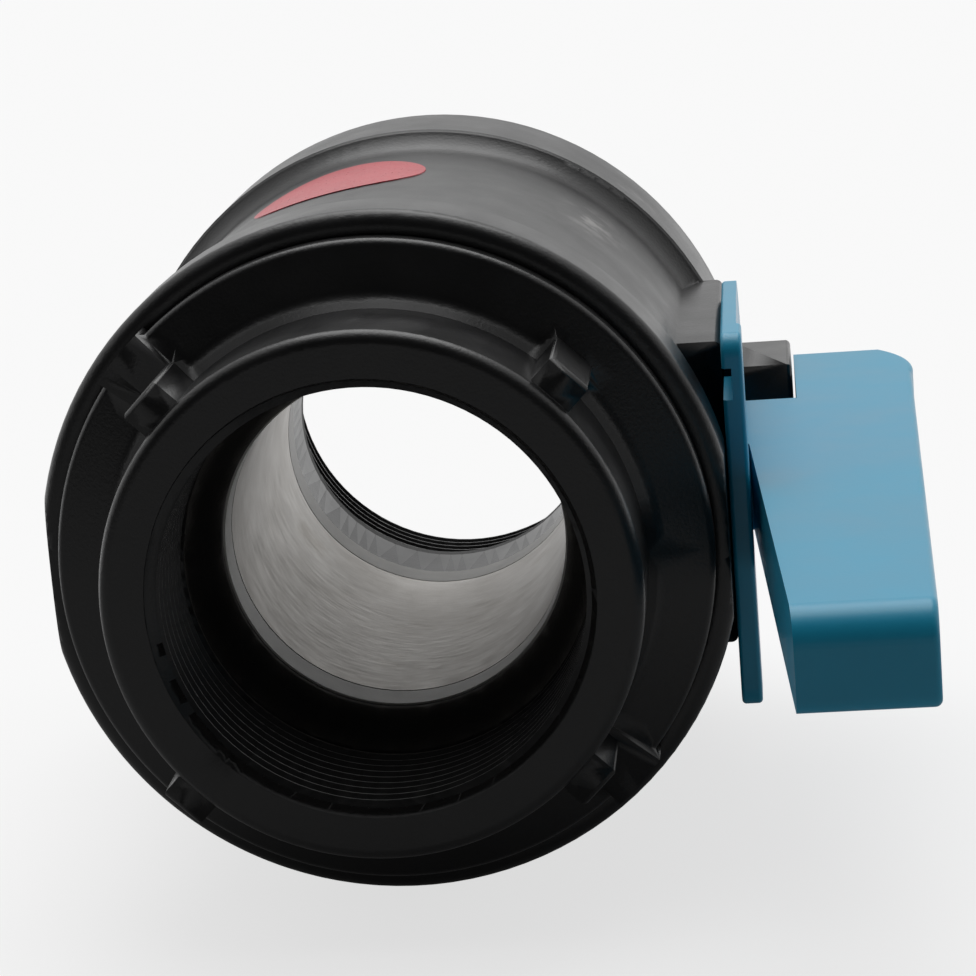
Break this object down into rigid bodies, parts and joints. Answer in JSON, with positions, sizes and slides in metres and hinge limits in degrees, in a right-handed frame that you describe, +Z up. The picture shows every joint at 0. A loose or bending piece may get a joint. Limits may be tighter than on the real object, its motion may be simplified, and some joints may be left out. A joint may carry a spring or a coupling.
{
  "type": "ibc tank valve",
  "caption": "Black plastic quarter-turn ball valve for a bulk liquid container, with a threaded socket at each end, a flanged casing and a long blue lever handle.",
  "frame": {"origin": "centre of the inlet socket's end face, on the bore's axis", "axes": "+Y along the bore, out of the inlet towards the tank; the outlet nozzle points to -Y. +X out along the stem on the handle's side. +Z up. The rest pose is open, with the lever along the bore."},
  "size_m": [0.1251, 0.1766, 0.0984],
  "materials": {
    "black_pp": "satin moulded polypropylene",
    "blue_pp": "satin moulded polypropylene",
    "ball_steel": "satin",
    "seat_ptfe": "smooth",
    "seal_rubber": "smooth",
    "stem_plastic": "glass-filled polyamide",
    "insert_brass": "machined",
    "screw_steel": "zinc plated",
    "label_red": "plain printed film"
  },
  "bodies": {
    "casing": {"valve_body": "black_pp", "end_cap": "black_pp", "end_cap_o_ring": "seal_rubber", "inlet_seat": "seat_ptfe", "outlet_seat": "seat_ptfe", "inlet_seat_o_ring": "seal_rubber", "outlet_seat_o_ring": "seal_rubber", "inlet_gasket": "seal_rubber", "blank_label": "label_red"},
    "handle": {"stem": "stem_plastic", "stem_insert": "insert_brass", "stem_o_ring_lower": "seal_rubber", "stem_o_ring_upper": "seal_rubber", "stem_thrust_washer": "seat_ptfe", "handle_plate": "blue_pp", "handle_lever": "blue_pp", "handle_washer": "screw_steel", "handle_screw": "screw_steel", "screw_cover": "blue_pp"},
    "ball_body": {"ball": "ball_steel"}
  },
  "joints": [
    {"name": "handle_turn", "type": "hinge", "parent": "casing", "child": "handle", "pos_m": [0, -0.0725, 0], "axis": [-1, 0, 0], "range_deg": [0, 90]},
    {"name": "ball_turn", "type": "hinge", "parent": "casing", "child": "ball_body", "pos_m": [0, -0.0725, 0], "axis": [-1, 0, 0], "range_deg": [0, 90]}
  ],
  "couplings": [
    {"joint": "ball_turn", "follows": "handle_turn", "ratio": 1}
  ]
}
